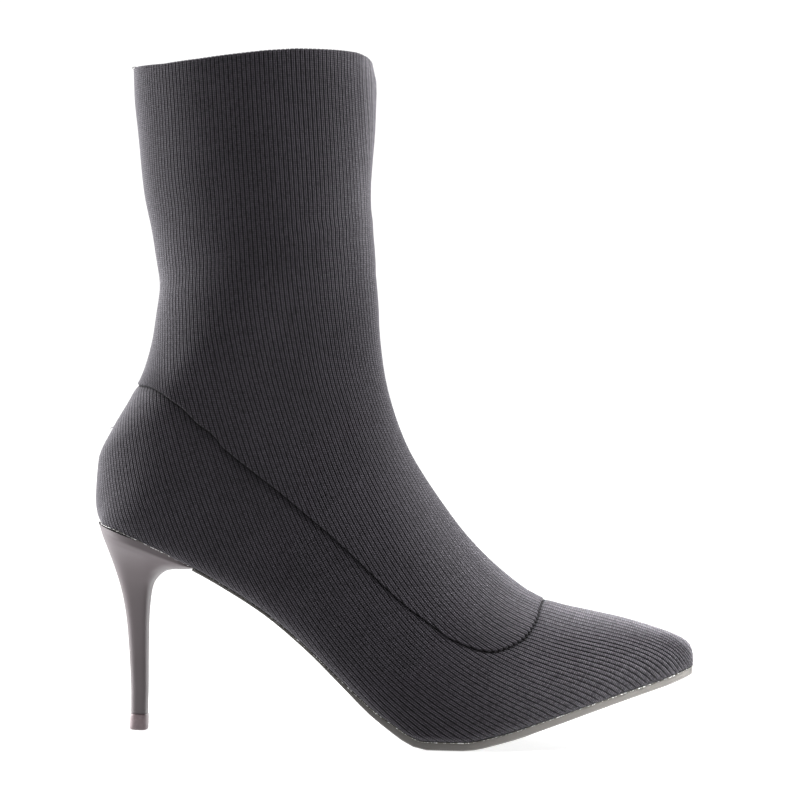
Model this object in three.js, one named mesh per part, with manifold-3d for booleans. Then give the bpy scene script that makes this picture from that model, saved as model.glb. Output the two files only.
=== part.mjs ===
// Stiletto sock boot, right foot. Knitted upper, moulded heel, thin outsole, heel tip and insole.
// Millimetres. +X points to the toe, +Y to the inner side of the foot, +Z up.
// The origin is the middle of the heel tip's underside, on the floor.
import * as THREE from 'three';
import Module from 'manifold-3d';
import { mergeVertices } from 'three/addons/utils/BufferGeometryUtils.js';

// Sizes of the last
const footLength = 241;
const heelHeight = 82;
const heelSetback = 19.6;
const toeSpring = 28;
const ballWidth = 78;
const instepHeight = 72;

// Sizes of the leg of the boot, above the heel seat
const shaftHeight = 186;
const shaftDepth = 97;
const shaftWidth = 72;

// Sizes of the upper
const knitWall = 1.6;
const sockStep = 0.6;
const lastingMargin = 14;

// Sizes of the bottom
const soleThickness = 3.2;
const soleEdge = 2.5;
const soleLip = 0.6;
const toeThickness = 2.9;
const toeEdge = 2.1;
const waistThickness = 2;
const waistEdge = 0.9;
const soleBevel = 2.5;
const waistBevel = 8;
const insoleThickness = 2;

// Sizes of the heel
const seatLength = 43.5;
const seatWidth = 52;
const stemDepth = 6.5;
const stemWidth = 8.8;
const tipHeight = 6.3;
const tipLip = 0.3;
const tipRound = 0.7;

// Clearance between pieces that are cemented together
const fit = 0.3;

// Height of the upper's underside where the ball of the foot stands
const treadTop = soleThickness + fit;

// Foot sections, from the toe tip to the back of the heel seat. Each runs from a point under the last
// to a point on its ridge.
// under, over: those two points along the foot, in foot lengths from the back of the heel
// spring, pitch: height of the lower point, in toe springs and in heel heights above the tread
// rise: height of the upper point over the lower one, in instep heights
// half: half width, and swing, ridge: sideways place of the two points, in ball widths
// flat: share of the half width that is flat underneath
// widest: share of the way up at which the section is widest
// keen: how narrow the ridge is, 1 for an ellipse
const footColumns = [
  'under', 'spring', 'pitch', 'over', 'rise', 'half', 'flat', 'widest', 'swing', 'ridge', 'keen',
];
const footRows = [
  [0.9990, 1.040, 0.000, 0.9995, 0.061, 0.030, 0.50, 0.45, 0.080, 0.080, 0.80],
  [0.9930, 1.015, 0.000, 0.9950, 0.121, 0.061, 0.62, 0.42, 0.079, 0.080, 0.80],
  [0.9820, 0.975, 0.000, 0.9840, 0.170, 0.092, 0.72, 0.40, 0.077, 0.080, 0.80],
  [0.9610, 0.896, 0.000, 0.9650, 0.230, 0.130, 0.80, 0.38, 0.072, 0.079, 0.82],
  [0.9280, 0.796, 0.000, 0.9340, 0.300, 0.178, 0.86, 0.36, 0.064, 0.076, 0.85],
  [0.8780, 0.650, 0.000, 0.8880, 0.394, 0.244, 0.89, 0.34, 0.050, 0.070, 0.90],
  [0.8200, 0.475, 0.000, 0.8365, 0.496, 0.316, 0.91, 0.32, 0.034, 0.064, 0.96],
  [0.7580, 0.286, 0.000, 0.7780, 0.606, 0.386, 0.92, 0.30, 0.018, 0.058, 1.03],
  [0.6950, 0.110, 0.000, 0.7330, 0.726, 0.450, 0.925, 0.28, 0.003, 0.052, 1.12],
  [0.6330, 0.000, 0.000, 0.6890, 0.868, 0.491, 0.925, 0.26, -0.010, 0.046, 1.22],
  [0.5750, 0.000, 0.000, 0.6480, 0.985, 0.500, 0.92, 0.25, -0.022, 0.040, 1.28],
  [0.5060, 0.000, 0.106, 0.6145, 0.985, 0.485, 0.90, 0.25, -0.032, 0.035, 1.28],
  [0.4380, 0.000, 0.271, 0.5770, 0.964, 0.450, 0.85, 0.27, -0.041, 0.030, 1.24],
  [0.3720, 0.000, 0.444, 0.5460, 0.921, 0.420, 0.79, 0.30, -0.045, 0.025, 1.18],
  [0.3050, 0.000, 0.599, 0.5220, 0.880, 0.400, 0.75, 0.32, -0.040, 0.020, 1.13],
  [0.2430, 0.000, 0.712, 0.5050, 0.876, 0.390, 0.745, 0.33, -0.028, 0.015, 1.09],
  [0.1810, 0.000, 0.812, 0.4900, 0.902, 0.390, 0.77, 0.33, -0.015, 0.010, 1.06],
  [0.1145, 0.000, 0.897, 0.4795, 0.929, 0.395, 0.80, 0.32, -0.005, 0.005, 1.03],
  [0.0564, 0.000, 0.959, 0.4725, 0.976, 0.400, 0.67, 0.33, 0.000, 0.000, 1.00],
  [0.0210, 0.000, 0.990, 0.4680, 1.045, 0.405, 0.39, 0.34, 0.000, 0.000, 1.00],
];

// Leg sections, from the back of the heel up to the collar
// back: how far the rear point lies before the back of the heel, in shaft depths
// up, front: height of the rear and front points above the heel seat, in shaft heights
// reach: distance from the rear point forward to the front one, in shaft depths
// half: half width, in shaft widths
const legColumns = ['back', 'up', 'reach', 'front', 'half', 'flat', 'widest'];
const legRows = [
  [0.012, 0.019, 1.142, 0.439, 0.440, 0.12, 0.35],
  [0.000, 0.059, 1.150, 0.477, 0.442, 0.00, 0.36],
  [0.007, 0.137, 1.136, 0.515, 0.445, 0.00, 0.38],
  [0.060, 0.204, 1.076, 0.551, 0.450, 0.00, 0.40],
  [0.132, 0.271, 0.999, 0.583, 0.455, 0.00, 0.42],
  [0.198, 0.341, 0.927, 0.616, 0.461, 0.00, 0.44],
  [0.234, 0.424, 0.883, 0.656, 0.468, 0.00, 0.46],
  [0.250, 0.511, 0.857, 0.699, 0.476, 0.00, 0.48],
  [0.225, 0.602, 0.878, 0.742, 0.485, 0.00, 0.50],
  [0.182, 0.704, 0.925, 0.793, 0.494, 0.00, 0.50],
  [0.150, 0.828, 0.965, 0.866, 0.500, 0.00, 0.50],
  [0.125, 0.925, 0.992, 0.955, 0.502, 0.00, 0.50],
  [0.118, 0.983, 0.976, 1.024, 0.500, 0.00, 0.50],
];

// Seam between the sock and the lower panel, from the back of the ankle to the middle of the vamp.
// station: section that it crosses, and share: how far up that section
const seamColumns = ['station', 'share'];
const seamRows = [
  [24.50, 0.000],
  [23.70, 0.140],
  [22.40, 0.285],
  [21.00, 0.385],
  [19.30, 0.448],
  [16.50, 0.468],
  [14.00, 0.488],
  [12.00, 0.515],
  [10.70, 0.550],
  [9.60, 0.553],
  [8.90, 0.570],
  [8.30, 0.635],
  [7.85, 0.740],
  [7.65, 0.870],
  [7.60, 1.000],
];

// Heel sections, from above the seat down to the foot of the stem.
// back, breast: rear and front points, 0 at the stem's foot and 1 at the ends of the seat
// backUp, breastUp: their heights, 0 at the stem's foot and 1 at the heel height
// half: half width, 0 at the stem's foot and 1 at the seat
const heelColumns = ['back', 'backUp', 'breast', 'breastUp', 'half'];
const heelRows = [
  [0.893, 1.033, 1.000, 0.836, 1.030],
  [0.818, 0.989, 1.000, 0.792, 1.000],
  [0.767, 0.952, 0.856, 0.783, 0.905],
  [0.679, 0.897, 0.520, 0.777, 0.676],
  [0.579, 0.836, 0.282, 0.760, 0.467],
  [0.472, 0.769, 0.124, 0.727, 0.305],
  [0.365, 0.698, 0.030, 0.682, 0.195],
  [0.258, 0.609, -0.010, 0.605, 0.119],
  [0.164, 0.496, -0.025, 0.496, 0.067],
  [0.069, 0.297, -0.015, 0.297, 0.029],
  [0.013, 0.111, 0.000, 0.111, 0.010],
  [0.000, 0.000, 0.000, 0.000, 0.000],
];

// How finely the forms are faceted
const lowerSteps = 6;
const flatSteps = 3;
const upperSteps = 8;
const stationsPerRow = 2;
const plainToeRows = 3;
const heelSides = 24;

// Roundness of the heel's sections, 2 for an ellipse
const heelBackPower = 2.6;
const heelBreastPower = 4;

// Stations between which the pieces run, counted in section rows from the toe
const cavityStart = 2.2;
const openingStart = 6;
const openingEnd = 17.5;
const insoleStart = 2.8;
const insoleEnd = 18.4;
const outsoleStart = 0.5;
const toeStation = 4;
const ballStation = 9;
const thinningStation = 10;
const waistStation = 13;

// Reading of the tables

function named(columns, row) {
  return Object.fromEntries(columns.map((column, index) => [column, row[index]]));
}

function footSection(row) {
  const foot = named(footColumns, row);
  const lowZ = treadTop + foot.spring * toeSpring + foot.pitch * (heelHeight - treadTop);
  return {
    lowX: foot.under * footLength - heelSetback,
    lowZ,
    highX: foot.over * footLength - heelSetback,
    highZ: lowZ + foot.rise * instepHeight,
    half: foot.half * ballWidth,
    flat: foot.flat,
    widest: foot.widest,
    swing: foot.swing * ballWidth,
    ridge: foot.ridge * ballWidth,
    keen: foot.keen,
  };
}

function legSection(row) {
  const leg = named(legColumns, row);
  const lowX = leg.back * shaftDepth - heelSetback;
  return {
    lowX,
    lowZ: heelHeight + leg.up * shaftHeight,
    highX: lowX + leg.reach * shaftDepth,
    highZ: heelHeight + leg.front * shaftHeight,
    half: leg.half * shaftWidth,
    flat: leg.flat,
    widest: leg.widest,
    swing: 0,
    ridge: 0,
    keen: 1,
  };
}

const sections = [...footRows.map(footSection), ...legRows.map(legSection)];
const lastStation = sections.length - 1;

// Smooth curve through evenly spaced values that never swings past them

function slopeAt(values, index) {
  const before = values[index] - values[index - 1];
  const after = values[index + 1] - values[index];
  if (index === 0) {
    return after;
  }
  if (index === values.length - 1) {
    return before;
  }
  if (before * after <= 0) {
    return 0;
  }
  return (2 * before * after) / (before + after);
}

function smooth(values, place) {
  const index = Math.min(Math.floor(place), values.length - 2);
  const t = place - index;
  const start = values[index];
  const end = values[index + 1];
  const bend = (2 * t - 3) * t * t + 1;
  const leave = slopeAt(values, index) * t * (1 - t) * (1 - t);
  const arrive = slopeAt(values, index + 1) * t * t * (t - 1);
  return start * bend + end * (1 - bend) + leave + arrive;
}

const sectionNames = Object.keys(sections[0]);
const columnsOfSections = Object.fromEntries(
  sectionNames.map((name) => [name, sections.map((section) => section[name])]),
);

function sectionAt(station) {
  const place = THREE.MathUtils.clamp(station, 0, lastStation);
  return Object.fromEntries(sectionNames.map((name) => [name, smooth(columnsOfSections[name], place)]));
}

// Outside of the last. Around runs from 0 underneath, over the outer side to the ridge at 1, and down the
// inner side to 2.

const halfSteps = lowerSteps + upperSteps;
const lowerShare = lowerSteps / halfSteps;
const flatShare = flatSteps / lowerSteps;

function halfProfile(section, share) {
  if (share <= lowerShare) {
    const climb = share / lowerShare;
    const late = Math.max(0, (climb - flatShare) / (1 - flatShare));
    const squareness = Math.min(1, 2 * section.flat);
    const angle = (Math.PI / 2) * THREE.MathUtils.lerp(climb, late, squareness);
    const flat = section.flat * Math.min(1, climb / flatShare);
    return {
      across: flat + (1 - section.flat) * Math.sin(angle),
      along: section.widest * (1 - Math.cos(angle)),
    };
  }
  const angle = (Math.PI / 2) * ((share - lowerShare) / (1 - lowerShare));
  return {
    across: Math.max(0, Math.cos(angle)) ** section.keen,
    along: section.widest + (1 - section.widest) * Math.sin(angle),
  };
}

function lastPoint(station, around) {
  const section = sectionAt(station);
  const turn = THREE.MathUtils.euclideanModulo(around, 2);
  const side = turn <= 1 ? -1 : 1;
  const { across, along } = halfProfile(section, turn <= 1 ? turn : 2 - turn);
  return new THREE.Vector3(
    THREE.MathUtils.lerp(section.lowX, section.highX, along),
    THREE.MathUtils.lerp(section.swing, section.ridge, along) + side * across * section.half,
    THREE.MathUtils.lerp(section.lowZ, section.highZ, along),
  );
}

const probe = 0.02;

function lastNormal(station, around) {
  const ahead = lastPoint(Math.min(station + probe, lastStation), around);
  const behind = lastPoint(Math.max(station - probe, 0), around);
  const lengthwise = ahead.sub(behind);
  const crosswise = lastPoint(station, around + probe).sub(lastPoint(station, around - probe));
  return crosswise.cross(lengthwise).normalize();
}

function lastRing(station, offset) {
  const ring = [];
  for (let step = 0; step < 2 * halfSteps; step += 1) {
    const around = step / halfSteps;
    ring.push(lastPoint(station, around).addScaledVector(lastNormal(station, around), offset));
  }
  return ring;
}

// Closed mesh through rings of points, with a flat cap on each end

function loft(rings) {
  const sides = rings[0].length;
  const points = rings.flat();
  const faces = [];
  for (let ring = 0; ring < rings.length - 1; ring += 1) {
    for (let side = 0; side < sides; side += 1) {
      const next = (side + 1) % sides;
      const a = ring * sides + side;
      const b = ring * sides + next;
      faces.push([a, b, b + sides], [a, b + sides, a + sides]);
    }
  }
  [0, rings.length - 1].forEach((ring) => {
    const middle = points.length;
    points.push(rings[ring].reduce((sum, point) => sum.add(point), new THREE.Vector3()).divideScalar(sides));
    for (let side = 0; side < sides; side += 1) {
      const a = ring * sides + side;
      const b = ring * sides + ((side + 1) % sides);
      faces.push(ring === 0 ? [middle, b, a] : [middle, a, b]);
    }
  });
  const volume = faces.reduce((sum, [a, b, c]) => {
    const normal = new THREE.Vector3().crossVectors(points[b], points[c]);
    return sum + points[a].dot(normal);
  }, 0);
  const outward = volume > 0 ? faces : faces.map(([a, b, c]) => [a, c, b]);
  const geometry = new THREE.BufferGeometry();
  geometry.setAttribute('position', new THREE.Float32BufferAttribute(points.flatMap((p) => p.toArray()), 3));
  geometry.setIndex(outward.flat());
  return geometry;
}

// Joining and cutting of closed meshes

const wasm = await Module();
wasm.setup();

function toSolid(geometry) {
  const plain = geometry.clone();
  plain.deleteAttribute('normal');
  plain.deleteAttribute('uv');
  const merged = mergeVertices(plain);
  return new wasm.Manifold(new wasm.Mesh({
    numProp: 3,
    vertProperties: new Float32Array(merged.attributes.position.array),
    triVerts: new Uint32Array(merged.index.array),
  }));
}

function toGeometry(solid) {
  const mesh = solid.getMesh();
  const geometry = new THREE.BufferGeometry();
  geometry.setAttribute('position', new THREE.BufferAttribute(new Float32Array(mesh.vertProperties), 3));
  geometry.setIndex(new THREE.BufferAttribute(new Uint32Array(mesh.triVerts), 1));
  return geometry;
}

// Upper

function stationsFrom(first, last, perRow) {
  const stations = [first];
  for (let step = Math.floor(first * perRow) + 1; step < last * perRow; step += 1) {
    const station = step / perRow;
    if (station >= plainToeRows || Number.isInteger(station)) {
      stations.push(station);
    }
  }
  stations.push(last);
  return stations;
}

function lastForm(first, offset, perRow, overshoot) {
  const rings = stationsFrom(first, lastStation, perRow).map((station) => lastRing(station, offset));
  if (overshoot > 0) {
    rings.push(rings[rings.length - 1].map((point) => point.clone().setZ(point.z + overshoot)));
  }
  return toSolid(loft(rings));
}

function seamPoint(row) {
  const seam = named(seamColumns, row);
  const section = sectionAt(seam.station);
  return new THREE.Vector2(
    THREE.MathUtils.lerp(section.lowX, section.highX, seam.share),
    THREE.MathUtils.lerp(section.lowZ, section.highZ, seam.share),
  );
}

// Everything above the seam in the side view, wider than the boot

const seamSteps = 40;

function sockRegion() {
  const seam = new THREE.SplineCurve(seamRows.map(seamPoint)).getPoints(seamSteps);
  const start = seam[0];
  const end = seam[seam.length - 1];
  const outline = new THREE.Shape([
    new THREE.Vector2(start.x - footLength, start.y),
    ...seam,
    new THREE.Vector2(end.x, end.y + instepHeight / 2),
    new THREE.Vector2(footLength, end.y + instepHeight),
    new THREE.Vector2(footLength, 2 * shaftHeight),
    new THREE.Vector2(start.x - footLength, 2 * shaftHeight),
  ]);
  const region = new THREE.ExtrudeGeometry(outline, { depth: 2 * ballWidth, bevelEnabled: false });
  region.rotateX(Math.PI / 2);
  region.translate(0, ballWidth, 0);
  return toSolid(region);
}

// Slab that follows the underside of the last. Its corners are given from the middle outwards, as the
// distance across and the height over the underside, and are mirrored to the other side.

function undersideAt(station) {
  const section = sectionAt(station);
  const ahead = sectionAt(station + probe);
  const behind = sectionAt(station - probe);
  const normal = new THREE.Vector2(ahead.lowZ - behind.lowZ, behind.lowX - ahead.lowX).normalize();
  return { section, normal, half: section.flat * section.half };
}

function undersideRing(station, corners) {
  const { section, normal, half } = undersideAt(station);
  const place = ({ across, height }) => new THREE.Vector3(
    section.lowX + normal.x * height,
    section.swing + across,
    section.lowZ + normal.y * height,
  );
  const outer = corners(half, station);
  const mirrored = outer.map((corner) => ({ ...corner, across: -corner.across })).reverse();
  return [...outer, ...mirrored].map(place);
}

function undersideSlab(stations, corners) {
  return loft(stations.map((station) => undersideRing(station, corners)));
}

function liningOpening() {
  const corners = (half) => [
    { across: half - lastingMargin, height: knitWall + fit / 2 },
    { across: half - lastingMargin, height: -knitWall },
  ];
  return toSolid(undersideSlab(stationsFrom(openingStart, openingEnd, stationsPerRow), corners));
}

function makeUpper() {
  const lower = lastForm(0, 0, stationsPerRow, 0);
  const sock = lastForm(0, sockStep, stationsPerRow, 0).intersect(sockRegion());
  const cavity = lastForm(cavityStart, -knitWall, stationsPerRow, knitWall);
  return toGeometry(lower.add(sock).subtract(cavity).subtract(liningOpening()));
}

// Outsole. It is thick and square-edged at the forefoot and thin, with a wide bevel, at the waist.

function stationAt(x) {
  let near = 0;
  let far = lastStation / 2;
  while (far - near > probe / 100) {
    const middle = (near + far) / 2;
    if (sectionAt(middle).lowX > x) {
      near = middle;
    } else {
      far = middle;
    }
  }
  return near;
}

function outsoleCorners(half, station) {
  const waist = THREE.MathUtils.smoothstep(station, thinningStation, waistStation);
  const toe = 1 - THREE.MathUtils.smoothstep(station, toeStation, ballStation);
  const blend = (ball, atToe, atWaist) => ball + toe * (atToe - ball) + waist * (atWaist - ball);
  const thickness = blend(soleThickness, toeThickness, waistThickness);
  const edge = blend(soleEdge, toeEdge, waistEdge);
  const bevel = Math.min(THREE.MathUtils.lerp(soleBevel, waistBevel, waist), half / 2);
  return [
    { across: half + soleLip, height: -fit },
    { across: half + soleLip, height: -fit - edge },
    { across: half + soleLip - bevel, height: -fit - thickness },
  ];
}

function makeOutsole() {
  const end = stationAt(seatLength - heelSetback + fit);
  return undersideSlab(stationsFrom(outsoleStart, end, stationsPerRow), outsoleCorners);
}

// Insole

function makeInsole() {
  const low = knitWall + fit;
  const corners = (half) => [
    { across: half - knitWall, height: low + insoleThickness },
    { across: half - knitWall, height: low },
  ];
  return undersideSlab(stationsFrom(insoleStart, insoleEnd, stationsPerRow), corners);
}

// Heel

function roundedPower(value, power) {
  return Math.sign(value) * Math.abs(value) ** (2 / power);
}

function heelRing(rear, front, half) {
  const middle = rear.clone().add(front).multiplyScalar(0.5);
  const reach = front.clone().sub(middle);
  const ring = [];
  for (let side = 0; side < heelSides; side += 1) {
    const angle = (2 * Math.PI * (side + 0.5)) / heelSides;
    const power = Math.cos(angle) > 0 ? heelBreastPower : heelBackPower;
    const point = middle.clone().addScaledVector(reach, roundedPower(Math.cos(angle), power));
    point.y = half * roundedPower(Math.sin(angle), power);
    ring.push(point);
  }
  return ring;
}

function heelSection(row) {
  const heel = named(heelColumns, row);
  const foot = tipHeight + fit;
  const rise = heelHeight - foot;
  const seatFront = seatLength - heelSetback;
  const backX = THREE.MathUtils.lerp(stemDepth / 2, heelSetback, heel.back);
  const breastX = THREE.MathUtils.lerp(stemDepth / 2, seatFront, heel.breast);
  return {
    rear: new THREE.Vector3(-backX, 0, foot + heel.backUp * rise),
    front: new THREE.Vector3(breastX, 0, foot + heel.breastUp * rise),
    half: THREE.MathUtils.lerp(stemWidth, seatWidth, heel.half) / 2,
  };
}

const heelStepsPerRow = 2;

function makeHeel() {
  const rows = heelRows.map(heelSection);
  const rings = [];
  for (let step = 0; step <= heelStepsPerRow * (rows.length - 1); step += 1) {
    const place = step / heelStepsPerRow;
    const read = (pick) => smooth(rows.map(pick), place);
    const rear = new THREE.Vector3(read((row) => row.rear.x), 0, read((row) => row.rear.z));
    const front = new THREE.Vector3(read((row) => row.front.x), 0, read((row) => row.front.z));
    rings.push(heelRing(rear, front, read((row) => row.half)));
  }
  const seat = lastForm(0, fit, stationsPerRow, 0);
  return toGeometry(toSolid(loft(rings)).subtract(seat));
}

// Heel tip, a little wider than the stem that it is pinned into

function makeHeelTip() {
  const full = { depth: stemDepth / 2 + tipLip, half: stemWidth / 2 + tipLip };
  const levels = [
    { z: 0, inset: tipRound },
    { z: tipRound, inset: 0 },
    { z: tipHeight - tipRound, inset: 0 },
    { z: tipHeight, inset: tipRound },
  ];
  return loft(levels.map(({ z, inset }) => heelRing(
    new THREE.Vector3(inset - full.depth, 0, z),
    new THREE.Vector3(full.depth - inset, 0, z),
    full.half - inset,
  )));
}

// Finishes

const finishes = {
  knit: { color: 0x3a383c, roughness: 0.95, metalness: 0 },
  sole: { color: 0x76736c, roughness: 0.6, metalness: 0 },
  heel: { color: 0x5f5759, roughness: 0.3, metalness: 0 },
  tip: { color: 0x4a4243, roughness: 0.5, metalness: 0 },
  lining: { color: 0x2b2a2c, roughness: 0.9, metalness: 0 },
};

function piece(name, geometry, finish) {
  const mesh = new THREE.Mesh(geometry, new THREE.MeshStandardMaterial(finishes[finish]));
  mesh.name = name;
  return mesh;
}

const boot = new THREE.Group();
boot.name = 'sock_boot';
boot.add(piece('upper', makeUpper(), 'knit'));
boot.add(piece('outsole', makeOutsole(), 'sole'));
boot.add(piece('insole', makeInsole(), 'lining'));
boot.add(piece('heel', makeHeel(), 'heel'));
boot.add(piece('heel_tip', makeHeelTip(), 'tip'));

export default boot;
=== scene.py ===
import math

import bpy
import numpy as np
from mathutils import Matrix, Vector
from mathutils.bvhtree import BVHTree


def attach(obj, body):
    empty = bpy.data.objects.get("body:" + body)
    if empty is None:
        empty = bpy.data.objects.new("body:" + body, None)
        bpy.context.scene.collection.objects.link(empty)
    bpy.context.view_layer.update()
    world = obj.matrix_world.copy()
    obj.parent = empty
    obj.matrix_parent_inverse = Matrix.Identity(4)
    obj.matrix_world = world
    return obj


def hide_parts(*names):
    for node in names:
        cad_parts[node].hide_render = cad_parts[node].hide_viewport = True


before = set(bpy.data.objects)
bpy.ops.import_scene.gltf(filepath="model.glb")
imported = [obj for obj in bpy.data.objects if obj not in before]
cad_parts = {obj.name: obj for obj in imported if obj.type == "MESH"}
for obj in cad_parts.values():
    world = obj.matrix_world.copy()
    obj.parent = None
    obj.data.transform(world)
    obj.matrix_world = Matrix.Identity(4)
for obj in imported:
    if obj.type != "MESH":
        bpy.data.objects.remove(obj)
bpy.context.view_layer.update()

MM = 0.001

# Sizes of the last and the leg
FOOT_LENGTH = 241
HEEL_HEIGHT = 82
HEEL_SETBACK = 19.6
TOE_SPRING = 28
BALL_WIDTH = 78
INSTEP_HEIGHT = 72
SHAFT_HEIGHT = 186
SHAFT_DEPTH = 97
SHAFT_WIDTH = 72

# Sizes of the bottom and the heel
SOLE_THICKNESS = 3.2
SOLE_EDGE = 2.5
SOLE_LIP = 0.6
TOE_THICKNESS = 2.9
TOE_EDGE = 2.1
WAIST_THICKNESS = 2
WAIST_EDGE = 0.9
SOLE_BEVEL = 2.5
WAIST_BEVEL = 8
SEAT_LENGTH = 43.5
SEAT_WIDTH = 52
STEM_DEPTH = 6.5
STEM_WIDTH = 8.8
TIP_HEIGHT = 6.3
TIP_LIP = 0.3
FIT = 0.3
TREAD_TOP = SOLE_THICKNESS + FIT
SEAT_BITE = 0.1

# Sizes of the knit
RIB_PITCH = 1.75
COURSE_PITCH = 0.8
RIB_DEPTH = 0.42
WALE_DIP = 0.5
RIB_STEPS = 8
SOCK_STEP = 0.6
FOLD_RADIUS = 0.95
FOLD_LENGTH = 16
LINING_DEPTH = 1.35

# The sock's edge rolls under steeply at the seam, and the lower panel sinks towards it in a gentle slope
SEAM_ROLL = 1.2
SEAM_LIP = 0.45
SEAM_SINK = 0.5
SEAM_SLOPE = 2.4
SCALLOP = 0.3
# Cement that shows in the joint of the sole, and round the seat
BEAD = 0.27
BEAD_OUT = 0.58
BEAD_DOWN = 0.15
SEAT_BEAD = 0.18
SEAT_BEAD_OUT = 0.3
THREAD = 0.22
# How far painted shade reaches from the pinched seam on either side, and the painted shadow band below it
SOCK_SEAM_PAINTED_SHADE = 0.5
LOWER_SEAM_PAINTED_SHADE = 0.55
SEAM_PAINTED_SHADOW = 2.2
VAMP_FULL = 0.5

# How far the collar stands above or below a straight cut, from the back to the front
COLLAR_AROUND = [0, 0.10, 0.23, 0.33, 0.42, 0.50, 0.60, 0.75, 0.84, 0.90, 0.95, 1.0]
COLLAR_LIFT = [1.3, 0.4, -0.9, -0.6, 0.2, 0.8, 1.1, 0.6, 0.2, -0.5, -1.2, -2.2]
COLLAR_FADE = 9

# Colours of the yarn, with painted light: painted shade low in a stitch, a painted highlight high on it, painted
# shade in the groove, and a painted sheen where the surface turns away
YARN_TONE_WITH_PAINTED_SHADE = "#0d0b0e"
YARN_TONE_WITH_PAINTED_HIGHLIGHT = "#3a373d"
YARN_GROOVE_PAINTED_SHADE = "#060507"
YARN_PAINTED_SHEEN = "#89878c"
# Strength of the painted sheen, and of the painted highlight on the bold ribs over the toe
PAINTED_SHEEN = 0.34
PAINTED_TOE_HIGHLIGHT = 0.16
YARN_SHEEN = 0.25

# Sections of the foot, from a rounded row at the tip of the toe to the back of the heel seat
FOOT_COLUMNS = ["under", "spring", "pitch", "over", "rise", "half", "flat", "widest", "swing", "ridge", "keen"]
FOOT_ROWS = [
    [1.0000, 1.050, 0.000, 1.0000, 0.008, 0.006, 0.40, 0.50, 0.080, 0.080, 0.80],
    [0.9990, 1.040, 0.000, 0.9995, 0.061, 0.030, 0.50, 0.45, 0.080, 0.080, 0.80],
    [0.9930, 1.015, 0.000, 0.9950, 0.121, 0.061, 0.62, 0.42, 0.079, 0.080, 0.80],
    [0.9820, 0.975, 0.000, 0.9840, 0.170, 0.092, 0.72, 0.40, 0.077, 0.080, 0.80],
    [0.9610, 0.896, 0.000, 0.9650, 0.230, 0.130, 0.80, 0.38, 0.072, 0.079, 0.82],
    [0.9280, 0.796, 0.000, 0.9340, 0.300, 0.178, 0.86, 0.36, 0.064, 0.076, 0.85],
    [0.8780, 0.650, 0.000, 0.8880, 0.394, 0.244, 0.89, 0.34, 0.050, 0.070, 0.90],
    [0.8200, 0.475, 0.000, 0.8365, 0.496, 0.316, 0.91, 0.32, 0.034, 0.064, 0.96],
    [0.7580, 0.286, 0.000, 0.7780, 0.606, 0.386, 0.92, 0.30, 0.018, 0.058, 1.03],
    [0.6950, 0.110, 0.000, 0.7330, 0.726, 0.450, 0.925, 0.28, 0.003, 0.052, 1.12],
    [0.6330, 0.000, 0.000, 0.6890, 0.868, 0.491, 0.925, 0.26, -0.010, 0.046, 1.22],
    [0.5750, 0.000, 0.000, 0.6480, 0.985, 0.500, 0.92, 0.25, -0.022, 0.040, 1.28],
    [0.5060, 0.000, 0.106, 0.6145, 0.985, 0.485, 0.90, 0.25, -0.032, 0.035, 1.28],
    [0.4380, 0.000, 0.271, 0.5770, 0.964, 0.450, 0.85, 0.27, -0.041, 0.030, 1.24],
    [0.3720, 0.000, 0.444, 0.5460, 0.921, 0.420, 0.79, 0.30, -0.045, 0.025, 1.18],
    [0.3050, 0.000, 0.599, 0.5220, 0.880, 0.400, 0.75, 0.32, -0.040, 0.020, 1.13],
    [0.2430, 0.000, 0.712, 0.5050, 0.876, 0.390, 0.745, 0.33, -0.028, 0.015, 1.09],
    [0.1810, 0.000, 0.812, 0.4900, 0.902, 0.390, 0.77, 0.33, -0.015, 0.010, 1.06],
    [0.1145, 0.000, 0.897, 0.4795, 0.929, 0.395, 0.80, 0.32, -0.005, 0.005, 1.03],
    [0.0564, 0.000, 0.959, 0.4725, 0.976, 0.400, 0.67, 0.33, 0.000, 0.000, 1.00],
    [0.0210, 0.000, 0.990, 0.4680, 1.045, 0.405, 0.39, 0.34, 0.000, 0.000, 1.00],
]
TIP_STATION = -1

# Sections of the leg, from the back of the heel up to the collar
LEG_COLUMNS = ["back", "up", "reach", "front", "half", "flat", "widest"]
LEG_ROWS = [
    [0.012, 0.019, 1.142, 0.439, 0.440, 0.12, 0.35],
    [0.000, 0.059, 1.150, 0.477, 0.442, 0.00, 0.36],
    [0.007, 0.137, 1.136, 0.515, 0.445, 0.00, 0.38],
    [0.060, 0.204, 1.076, 0.551, 0.450, 0.00, 0.40],
    [0.132, 0.271, 0.999, 0.583, 0.455, 0.00, 0.42],
    [0.198, 0.341, 0.927, 0.616, 0.461, 0.00, 0.44],
    [0.234, 0.424, 0.883, 0.656, 0.468, 0.00, 0.46],
    [0.250, 0.511, 0.857, 0.699, 0.476, 0.00, 0.48],
    [0.225, 0.602, 0.878, 0.742, 0.485, 0.00, 0.50],
    [0.182, 0.704, 0.925, 0.793, 0.494, 0.00, 0.50],
    [0.150, 0.828, 0.965, 0.866, 0.500, 0.00, 0.50],
    [0.125, 0.925, 0.992, 0.955, 0.502, 0.00, 0.50],
    [0.118, 0.983, 0.976, 1.024, 0.500, 0.00, 0.50],
]
COLLAR_STATION = 32

# Seam between sock and lower panel: section that it crosses, and how far up that section
SEAM_ROWS = [
    [24.50, 0.000],
    [23.70, 0.147],
    [22.40, 0.296],
    [21.00, 0.401],
    [19.30, 0.457],
    [16.50, 0.464],
    [14.00, 0.488],
    [12.00, 0.515],
    [10.70, 0.550],
    [9.60, 0.553],
    [8.90, 0.570],
    [8.30, 0.635],
    [7.85, 0.740],
    [7.65, 0.870],
    [7.60, 1.000],
]
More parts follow.
